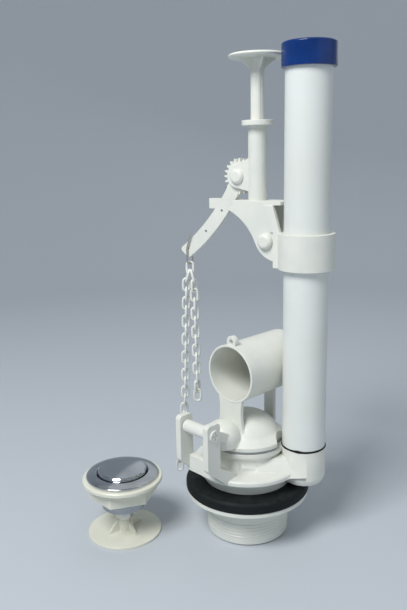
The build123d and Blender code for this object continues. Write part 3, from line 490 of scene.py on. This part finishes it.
def make_scratch_group():
    """Mask of fine scratches in two crossing directions."""
    group, start, end = node_group("fine_scratches", ("Scale",), ("Mask",))
    masks = []
    for turn, ratio in ((0.5, 14.0), (2.1, 18.0)):
        drawn = stretch(group, start.outputs["Vector"], (1.0, ratio, 1.0), (0.3, 0.2, turn))
        lines = noise(group, drawn, start.outputs["Scale"], detail=2.0)
        masks.append(spread(group, lines, 0.66, 0.78))
    group.links.new(combine(group, "MAXIMUM", *masks), end.inputs["Mask"])
    return group


class Finishes:
    """Materials of the object, built once and shared by its pieces."""

    def __init__(self):
        self.surface = make_surface_group()
        self.dust = make_dust_group()
        self.scratch = make_scratch_group()
        c = colours()
        self.white = self.plastic(
            "moulded_white", c.white, c.white_shade,
            tone=38.0, grain=1500.0, rough=(0.30, 0.46), dust=0.05,
        )
        self.tube = self.drawn_tube("drawn_tube_white", c.tube, c.white_shade)
        self.chain = self.plastic(
            "chain_white", c.chain, c.white_shade,
            tone=120.0, grain=2600.0, rough=(0.28, 0.40), dust=0.03,
        )
        self.cream = self.plastic(
            "button_cream", c.cream, c.cream_shade,
            tone=60.0, grain=1800.0, rough=(0.26, 0.40), dust=0.04,
        )
        self.cap = self.plastic(
            "cap_blue", c.cap, c.cap_shade,
            tone=60.0, grain=1800.0, rough=(0.11, 0.22), dust=0.015,
        )
        self.rubber = self.rubbery("seal_black", c.rubber, c.rubber_bloom)
        self.seal = self.rubbery("flapper_seal_grey", c.seal, c.seal_bloom)
        self.steel = self.metal("drawn_steel", c.steel, rough=(0.20, 0.34), scratches=900.0)
        self.turned = self.turned_metal("turned_steel", c.turned)
        self.chrome = self.metal("chrome_plate", c.chrome, rough=(0.05, 0.16), scratches=420.0)

    def start(self, name):
        """New material with its shader and Object coordinates."""
        material = bpy.data.materials.new(name)
        material.use_nodes = True
        tree = material.node_tree
        shader = tree.nodes["Principled BSDF"]
        place = tree.nodes.new("ShaderNodeTexCoord")
        return material, tree, shader, place.outputs["Object"]

    def grouped(self, tree, group, vector, **values):
        """Places a shared group, sets its values and returns its outputs."""
        node = tree.nodes.new("ShaderNodeGroup")
        node.node_tree = group
        tree.links.new(vector, node.inputs["Vector"])
        for socket, value in values.items():
            node.inputs[socket.replace("_", " ")].default_value = value
        return node.outputs

    def varied(self, tree, vector, tone, grain, rough):
        """Tone, roughness and height of a surface, by two noise scales and a rough range."""
        low, high = rough
        return self.grouped(
            tree, self.surface, vector,
            Tone_Scale=tone, Grain_Scale=grain, Rough_Low=low, Rough_High=high,
        )

    def dusty(self, tree, shader, vector, under, amount):
        """Base colour with thin dust over it."""
        mask = self.grouped(tree, self.dust, vector, Amount=amount)["Mask"]
        covered = blend_colours(tree, mask, under, colours().dust)
        tree.links.new(covered, shader.inputs["Base Color"])

    def relief(self, tree, shader, height, strength, distance):
        """Fine relief through a bump."""
        bump = tree.nodes.new("ShaderNodeBump")
        bump.inputs["Strength"].default_value = strength
        bump.inputs["Distance"].default_value = distance
        tree.links.new(height, bump.inputs["Height"])
        tree.links.new(bump.outputs["Normal"], shader.inputs["Normal"])

    def plastic(self, name, main, deeper, tone, grain, rough, dust):
        """Moulded plastic: faint flow tones, satin gloss, mould grain and a little dust."""
        material, tree, shader, vector = self.start(name)
        look = self.varied(tree, vector, tone, grain, rough)
        flow = blend_colours(tree, look["Tone"], main, deeper)
        self.dusty(tree, shader, vector, flow, dust)
        tree.links.new(look["Roughness"], shader.inputs["Roughness"])
        shader.inputs["Specular IOR Level"].default_value = 0.5
        shader.inputs["IOR"].default_value = 1.49
        self.relief(tree, shader, look["Height"], strength=0.12, distance=0.00012)
        return material

    def drawn_tube(self, name, main, deeper):
        """Drawn plastic tube: faint lengthwise draw lines over the moulded look."""
        material, tree, shader, vector = self.start(name)
        lines = noise(tree, stretch(tree, vector, (1.0, 1.0, 0.02)), 1500.0, detail=4.0)
        look = self.varied(tree, vector, tone=22.0, grain=1300.0, rough=(0.26, 0.42))
        drawn = spread(tree, lines, 0.3, 0.75, 0.55, 0.85)
        shade = combine(tree, "MULTIPLY", look["Tone"], drawn)
        tree.links.new(blend_colours(tree, shade, main, deeper), shader.inputs["Base Color"])
        tree.links.new(look["Roughness"], shader.inputs["Roughness"])
        shader.inputs["IOR"].default_value = 1.52
        self.relief(tree, shader, lines, strength=0.06, distance=0.0001)
        return material

    def rubbery(self, name, main, bloom):
        """Moulded rubber: dull, mottled with bloom, and dusty on top."""
        material, tree, shader, vector = self.start(name)
        look = self.varied(tree, vector, tone=95.0, grain=2200.0, rough=(0.48, 0.74))
        mottled = blend_colours(tree, look["Tone"], main, bloom)
        self.dusty(tree, shader, vector, mottled, 0.025)
        tree.links.new(look["Roughness"], shader.inputs["Roughness"])
        shader.inputs["Specular IOR Level"].default_value = 0.2
        self.relief(tree, shader, look["Height"], strength=0.30, distance=0.0002)
        return material

    def metal(self, name, main, rough, scratches):
        """Metal: smudges and fine scratches that change its roughness."""
        material, tree, shader, vector = self.start(name)
        look = self.varied(tree, vector, tone=55.0, grain=1600.0, rough=rough)
        scratched = self.grouped(tree, self.scratch, vector, Scale=scratches)["Mask"]
        smudged = blend_colours(tree, look["Tone"], main, dulled(main, 0.82))
        worn = combine(tree, "MULTIPLY_ADD", scratched, 0.12, look["Roughness"])
        tree.links.new(smudged, shader.inputs["Base Color"])
        tree.links.new(worn, shader.inputs["Roughness"])
        shader.inputs["Metallic"].default_value = 1.0
        self.relief(tree, shader, look["Height"], strength=0.03, distance=0.00008)
        return material

    def turned_metal(self, name, main):
        """Metal turned on a lathe: fine level rings over the smudges."""
        material, tree, shader, vector = self.start(name)
        rings = noise(tree, stretch(tree, vector, (0.01, 0.01, 1.0)), 2600.0, detail=3.0)
        look = self.varied(tree, vector, tone=70.0, grain=1600.0, rough=(0.20, 0.32))
        ringed = spread(tree, rings, 0.35, 0.65, 0.3, 1.0)
        shade = combine(tree, "MULTIPLY", look["Tone"], ringed)
        smudged = blend_colours(tree, shade, main, dulled(main, 0.8))
        tree.links.new(smudged, shader.inputs["Base Color"])
        tree.links.new(look["Roughness"], shader.inputs["Roughness"])
        shader.inputs["Metallic"].default_value = 1.0
        self.relief(tree, shader, rings, strength=0.10, distance=0.0001)
        return material


FINISHES = {}


def finish(look):
    """Shared material by its name in the set, which is made at the first call."""
    if "set" not in FINISHES:
        FINISHES["set"] = Finishes()
    return getattr(FINISHES["set"], look)


# Pieces


class FLUSHVALVE_OT_base(bpy.types.Operator):
    """Base moulding with the helical outlet thread"""

    bl_idname = "flushvalve.base"
    bl_label = "Base moulding"

    def execute(self, context):
        moulded_copy("base", "base_moulding", sizes().mould_edge, "white", "valve")
        self.make_thread()
        return {"FINISHED"}

    def make_thread(self):
        """Ridge of the outlet thread: a small triangle wound up the tail."""
        s = sizes()
        mount = next(m for m in frame["record"]["mounts"] if m["name"] == "outlet_thread")
        crest = mount["dims"]["r_mm"] * MM + s.thread_depth * THREAD_PROUD
        root = crest - s.thread_depth
        half_foot = s.thread_pitch * THREAD_HALF_FOOT
        select_only()
        bpy.ops.mesh.primitive_circle_add(vertices=3, radius=s.thread_depth, fill_type="NOTHING")
        thread = bpy.context.object
        thread.name = "tail_thread"
        corners = ((root, -half_foot), (crest, 0.0), (root, half_foot))
        for vertex, (radius, rise) in zip(thread.data.vertices, corners):
            vertex.co = (radius, 0.0, s.thread_start + rise)
        screw = thread.modifiers.new("winding", "SCREW")
        screw.axis = "Z"
        screw.steps = screw.render_steps = THREAD_STEPS
        screw.iterations = s.thread_turns
        screw.screw_offset = s.thread_pitch
        screw.use_merge_vertices = False
        apply_modifiers(thread)
        edit_all(thread)
        bpy.ops.mesh.select_all(action="DESELECT")
        bpy.ops.mesh.select_non_manifold()
        bpy.ops.mesh.edge_face_add()
        close_edit()
        smooth(thread, degrees=30.0)
        finish_piece(thread, "white", "valve")


class FLUSHVALVE_OT_washers(bpy.types.Operator):
    """Washers, rings and the flapper's seal"""

    bl_idname = "flushvalve.washers"
    bl_label = "Washers and seals"

    def execute(self, context):
        edge = sizes().mould_edge
        moulded_copy("slip_washer", "slip_ring", edge, "white", "valve")
        moulded_copy("seal_washer", "seal_ring", edge, "rubber", "valve")
        moulded_copy("flapper_seal", "flapper_seal_ring", edge, "seal", "flapper")
        self.make_bead()
        return {"FINISHED"}

    def make_bead(self):
        """Uneven bead squeezed out at the tube's joint."""
        s = sizes()
        low, high = (Vector(corner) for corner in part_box("joint_ring"))
        middle = (low + high) / 2
        outer = (high.x - low.x) / 2
        select_only()
        bpy.ops.mesh.primitive_torus_add(
            major_radius=outer + s.bead_proud - s.bead_height / 2,
            minor_radius=s.bead_height / 2,
            major_segments=BEAD_STEPS[0],
            minor_segments=BEAD_STEPS[1],
        )
        bead = bpy.context.object
        bead.name = "joint_bead"
        for vertex in bead.data.vertices:
            turn = math.atan2(vertex.co.y, vertex.co.x)
            swell = self.waves(turn, BEAD_SWELL) * s.bead_uneven
            sag = self.waves(turn, BEAD_SAG) * s.bead_uneven * SAG_SHARE
            lump = math.exp(-(((turn - s.lump_turn) / LUMP_SPREAD) ** 2)) * s.bead_lump
            vertex.co.z = vertex.co.z * (1 + (swell + lump) / s.bead_height) + sag
            vertex.co += middle
        smooth(bead, degrees=60.0)
        finish_piece(bead, "rubber", "valve", "joint_ring")

    def waves(self, turn, table):
        """Sum of a table's waves at one turn."""
        return sum(math.sin(number * turn + start) * share for number, start, share in table)


class FLUSHVALVE_OT_tube(bpy.types.Operator):
    """Overflow tube and its cap"""

    bl_idname = "flushvalve.tube"
    bl_label = "Overflow tube"

    def execute(self, context):
        edge = sizes().mould_edge
        moulded_copy("overflow_tube", "tube", edge, "tube", "valve")
        moulded_copy("tube_cap", "cap", edge, "cap", "valve")
        return {"FINISHED"}


class FLUSHVALVE_OT_flapper(bpy.types.Operator):
    """Flapper, its float cup and the hinge pin"""

    bl_idname = "flushvalve.flapper"
    bl_label = "Flapper"

    def execute(self, context):
        edge = sizes().mould_edge
        moulded_copy("flapper", "flapper_moulding", edge, "white", "flapper")
        moulded_copy("float_cup", "float_cup_moulding", edge, "white", "flapper")
        moulded_copy("hinge_pin", "hinge_rivet", sizes().small_edge, "white", "valve")
        return {"FINISHED"}


class FLUSHVALVE_OT_bracket(bpy.types.Operator):
    """Bracket on the tube with its clamp screw, nut and lever pin"""

    bl_idname = "flushvalve.bracket"
    bl_label = "Bracket"

    def execute(self, context):
        small = sizes().small_edge
        moulded_copy("bracket", "bracket_moulding", sizes().mould_edge, "white", "bracket")
        moulded_copy("clamp_screw", "clamp_dome_screw", small, "white", "bracket")
        moulded_copy("clamp_nut", "clamp_hex_nut", small, "white", "bracket")
        moulded_copy("pivot_pin", "lever_pin", small, "white", "bracket")
        return {"FINISHED"}


class FLUSHVALVE_OT_push_rod(bpy.types.Operator):
    """Push rod with its disc and rack"""

    bl_idname = "flushvalve.push_rod"
    bl_label = "Push rod"

    def execute(self, context):
        moulded_copy("push_rod", "push_rod_moulding", sizes().small_edge, "white", "plunger")
        return {"FINISHED"}


class FLUSHVALVE_OT_lever(bpy.types.Operator):
    """Toothed lever"""

    bl_idname = "flushvalve.lever"
    bl_label = "Lever"

    def execute(self, context):
        moulded_copy("lever", "toothed_lever", sizes().small_edge, "white", "lever")
        return {"FINISHED"}


class FLUSHVALVE_OT_chain(bpy.types.Operator):
    """Wire clip and the two runs of chain"""

    bl_idname = "flushvalve.chain"
    bl_label = "Chain"

    def execute(self, context):
        paint(frame["nodes"]["wire_clip"], "steel")
        pattern = self.make_link()
        s = sizes()
        inner = s.link_pitch + s.link_play
        top = -s.clip_drop + s.clip_wire / 2 + s.link_play / 2 - inner / 2
        straight = s.long_links - 1 - s.tail_links
        long_leans = [-s.long_spread] + [-s.long_lean] * straight + [-s.tail_lean] * s.tail_links
        short_leans = [s.short_spread] + [s.short_lean] * (s.short_links - 1)
        top_link = (0.0, top, 0.0, 0.0)
        long_run = [top_link, *self.run(-s.run_offset, long_leans, top, early=0)]
        short_run = self.run(s.run_offset, short_leans, top, early=s.twisted_links)
        self.hang(pattern, long_run, "chain_long_links", "chain_long")
        self.hang(pattern, short_run, "chain_short_links", "chain_short")
        bpy.data.objects.remove(pattern)
        return {"FINISHED"}

    def make_link(self):
        """One link of round wire: a torus pulled out lengthwise."""
        s = sizes()
        select_only()
        bpy.ops.mesh.primitive_torus_add(
            major_radius=(s.link_width - s.link_wire) / 2,
            minor_radius=s.link_wire / 2,
            major_segments=LINK_STEPS[0],
            minor_segments=LINK_STEPS[1],
        )
        link = bpy.context.object
        straight = (s.link_pitch + s.link_play + s.link_wire - (s.link_width - s.link_wire)) / 2
        edit_all(link)
        for side in (1, -1):
            pick_vertices(link, lambda place: place.x * side > MERGE)
            bpy.ops.transform.translate(value=(side * straight, 0.0, 0.0))
        close_edit()
        smooth(link, degrees=60.0)
        return link

    def run(self, offset, leans, top, early):
        """Across, up, lean and turn of each link in a run; its early and last links twist."""
        s = sizes()
        x = offset + (s.link_play + s.clip_wire) / 2 * math.sin(leans[0])
        y = top - (s.link_pitch + s.link_play) / 2 + s.top_link_play
        places = []
        for k, lean in enumerate(leans):
            step = Vector((s.link_pitch * math.sin(lean), s.link_pitch * math.cos(lean)))
            late = max(k + 1 + s.twisted_links - len(leans), 0)
            turn = (k + 1) * math.pi / 2 - (min(k, early) + late) * s.link_twist
            places.append((x + step.x / 2, y - step.y / 2, lean, turn))
            x += step.x
            y -= step.y
        return places

    def hang(self, pattern, places, name, node):
        """Copies the link to its places below the lever's last hole and joins the copies."""
        joint = JOINTS["chain_hang"]
        hole = Vector(joint["pos_m"])
        back = Vector(joint["axis"])
        along = Vector((back.y, -back.x, 0.0))
        chain_turn = sizes().chain_turn
        links = []
        for across, up, lean, turn in places:
            down = along * math.sin(lean) + Vector((0.0, 0.0, -math.cos(lean)))
            face = Matrix.Rotation(turn + chain_turn, 3, down) @ back
            side = face.cross(down)
            lie = Matrix((down, side, face)).transposed().to_4x4()
            place = hole + along * across + Vector((0.0, 0.0, up))
            copy = pattern.copy()
            copy.data = pattern.data.copy()
            copy.data.transform(Matrix.Translation(place) @ lie)
            bpy.context.scene.collection.objects.link(copy)
            links.append(copy)
        select_only(*links)
        bpy.ops.object.join()
        run = bpy.context.object
        run.name = name
        finish_piece(run, "chain", "chain", node)


class FLUSHVALVE_OT_button(bpy.types.Operator):
    """Lid button on its foot"""

    bl_idname = "flushvalve.button"
    bl_label = "Lid button"

    def execute(self, context):
        edge = sizes().mould_edge
        small = sizes().small_edge
        moulded_copy("button_foot", "button_ribbed_foot", edge, "cream", "valve")
        moulded_copy("button_stem", "button_chrome_stem", small, "chrome", "valve")
        moulded_copy("button_face", "button_push_face", small, "chrome", "valve")
        moulded_copy("button_barrel", "button_metal_barrel", small, "turned", "button_housing")
        moulded_copy("button_nut", "button_hex_nut", edge, "cream", "button_housing")
        moulded_copy("button_gasket", "button_cream_ring", small, "cream", "button_housing")
        moulded_copy("escutcheon", "button_chrome_rim", small, "chrome", "button_housing")
        self.make_spring()
        return {"FINISHED"}

    def make_spring(self):
        """Return spring against the push face, copied with a mesh of its own."""
        spring = moulded_copy("button_spring", "button_return_spring", 0.0, "steel", "valve")
        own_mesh(spring)


class FLUSHVALVE_OT_stage(bpy.types.Operator):
    """Pale floor, soft lamps and the camera"""

    bl_idname = "flushvalve.stage"
    bl_label = "Stage"

    def execute(self, context):
        stage = context.scene.flush_valve_stage
        self.make_floor(stage)
        self.make_lamps(stage)
        self.make_sky(context, stage)
        self.make_camera(context, stage)
        context.scene.view_settings.view_transform = "Standard"
        return {"FINISHED"}

    def make_floor(self, stage):
        """Round floor whose rim sweeps up on every side."""
        select_only()
        bpy.ops.mesh.primitive_circle_add(
            vertices=FLOOR_STEPS, radius=stage.floor_radius, fill_type="NGON"
        )
        floor = bpy.context.object
        floor.name = "sweep"
        edit_all(floor)
        bpy.ops.mesh.region_to_loop()
        rise = (0.0, 0.0, stage.rim_height)
        bpy.ops.mesh.extrude_edges_move(TRANSFORM_OT_translate={"value": rise})
        bpy.ops.mesh.select_mode(type="VERT")
        pick_vertices(floor, lambda place: place.z < MERGE)
        bpy.ops.mesh.bevel(offset=stage.rim_sweep, segments=SWEEP_STEPS, affect="EDGES")
        bpy.ops.object.mode_set(mode="OBJECT")
        smooth(floor, degrees=40.0)
        material = bpy.data.materials.new("pale_floor")
        material.use_nodes = True
        shader = material.node_tree.nodes["Principled BSDF"]
        shader.inputs["Base Color"].default_value = (*stage.floor, 1.0)
        shader.inputs["Roughness"].default_value = FLOOR_ROUGHNESS
        floor.data.materials.append(material)

    def make_lamps(self, stage):
        """Soft key from the left front, fill from the right and a lamp from behind."""
        for name, place, size, setting in LAMPS:
            bpy.ops.object.light_add(type="AREA", location=place)
            lamp = bpy.context.object
            lamp.name = name
            lamp.data.energy = getattr(stage, setting)
            lamp.data.size = size
            view = Vector(LAMP_TARGET) - Vector(place)
            lamp.rotation_euler = view.to_track_quat("-Z", "Y").to_euler()

    def make_sky(self, context, stage):
        """Even light from all round."""
        world = bpy.data.worlds.new("even_sky")
        context.scene.world = world
        world.use_nodes = True
        background = world.node_tree.nodes["Background"]
        background.inputs["Color"].default_value = (*stage.sky, 1.0)
        background.inputs["Strength"].default_value = stage.sky_strength

    def make_camera(self, context, stage):
        """Camera at the photograph's angle."""
        bpy.ops.object.camera_add(location=stage.camera_place)
        camera = bpy.context.object
        tilt = Matrix.Rotation(math.pi / 2 - stage.camera_tilt, 3, "X")
        roll = Matrix.Rotation(stage.camera_roll, 3, "Z")
        camera.rotation_euler = (tilt @ roll).to_euler()
        camera.data.sensor_width = SENSOR_WIDTH
        camera.data.lens = stage.focal_pixels / max(PHOTO_SIZE) * SENSOR_WIDTH
        camera.data.clip_start = CLIP_START
        context.scene.camera = camera


PIECE_OPERATORS = (
    FLUSHVALVE_OT_base,
    FLUSHVALVE_OT_washers,
    FLUSHVALVE_OT_tube,
    FLUSHVALVE_OT_flapper,
    FLUSHVALVE_OT_bracket,
    FLUSHVALVE_OT_push_rod,
    FLUSHVALVE_OT_lever,
    FLUSHVALVE_OT_chain,
    FLUSHVALVE_OT_button,
    FLUSHVALVE_OT_stage,
)


class FLUSHVALVE_PT_pieces(bpy.types.Panel):
    """Lists the pieces and their sizes and colours"""

    bl_label = "Flush Valve"
    bl_idname = "FLUSHVALVE_PT_pieces"
    bl_space_type = "VIEW_3D"
    bl_region_type = "UI"
    bl_category = "Flush Valve"

    def draw(self, context):
        column = self.layout.column(align=True)
        for operator in PIECE_OPERATORS:
            column.operator(operator.bl_idname)
        for group in ("flush_valve_sizes", "flush_valve_colours", "flush_valve_stage"):
            box = self.layout.box()
            values = getattr(context.scene, group)
            for name in values.__annotations__:
                box.prop(values, name)


GROUPS = (FlushValveSizes, FlushValveColours, FlushValveStage)
CLASSES = (*GROUPS, *PIECE_OPERATORS, FLUSHVALVE_PT_pieces)


def register():
    for cls in CLASSES:
        bpy.utils.register_class(cls)
    bpy.types.Scene.flush_valve_sizes = PointerProperty(type=FlushValveSizes)
    bpy.types.Scene.flush_valve_colours = PointerProperty(type=FlushValveColours)
    bpy.types.Scene.flush_valve_stage = PointerProperty(type=FlushValveStage)


def unregister():
    del bpy.types.Scene.flush_valve_stage
    del bpy.types.Scene.flush_valve_colours
    del bpy.types.Scene.flush_valve_sizes
    for cls in reversed(CLASSES):
        bpy.utils.unregister_class(cls)


def main():
    register()
    bpy.ops.flushvalve.base()
    bpy.ops.flushvalve.washers()
    bpy.ops.flushvalve.tube()
    bpy.ops.flushvalve.flapper()
    bpy.ops.flushvalve.bracket()
    bpy.ops.flushvalve.push_rod()
    bpy.ops.flushvalve.lever()
    bpy.ops.flushvalve.chain()
    bpy.ops.flushvalve.button()
    bpy.ops.flushvalve.stage()
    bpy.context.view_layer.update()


if __name__ == "__main__":
    main()
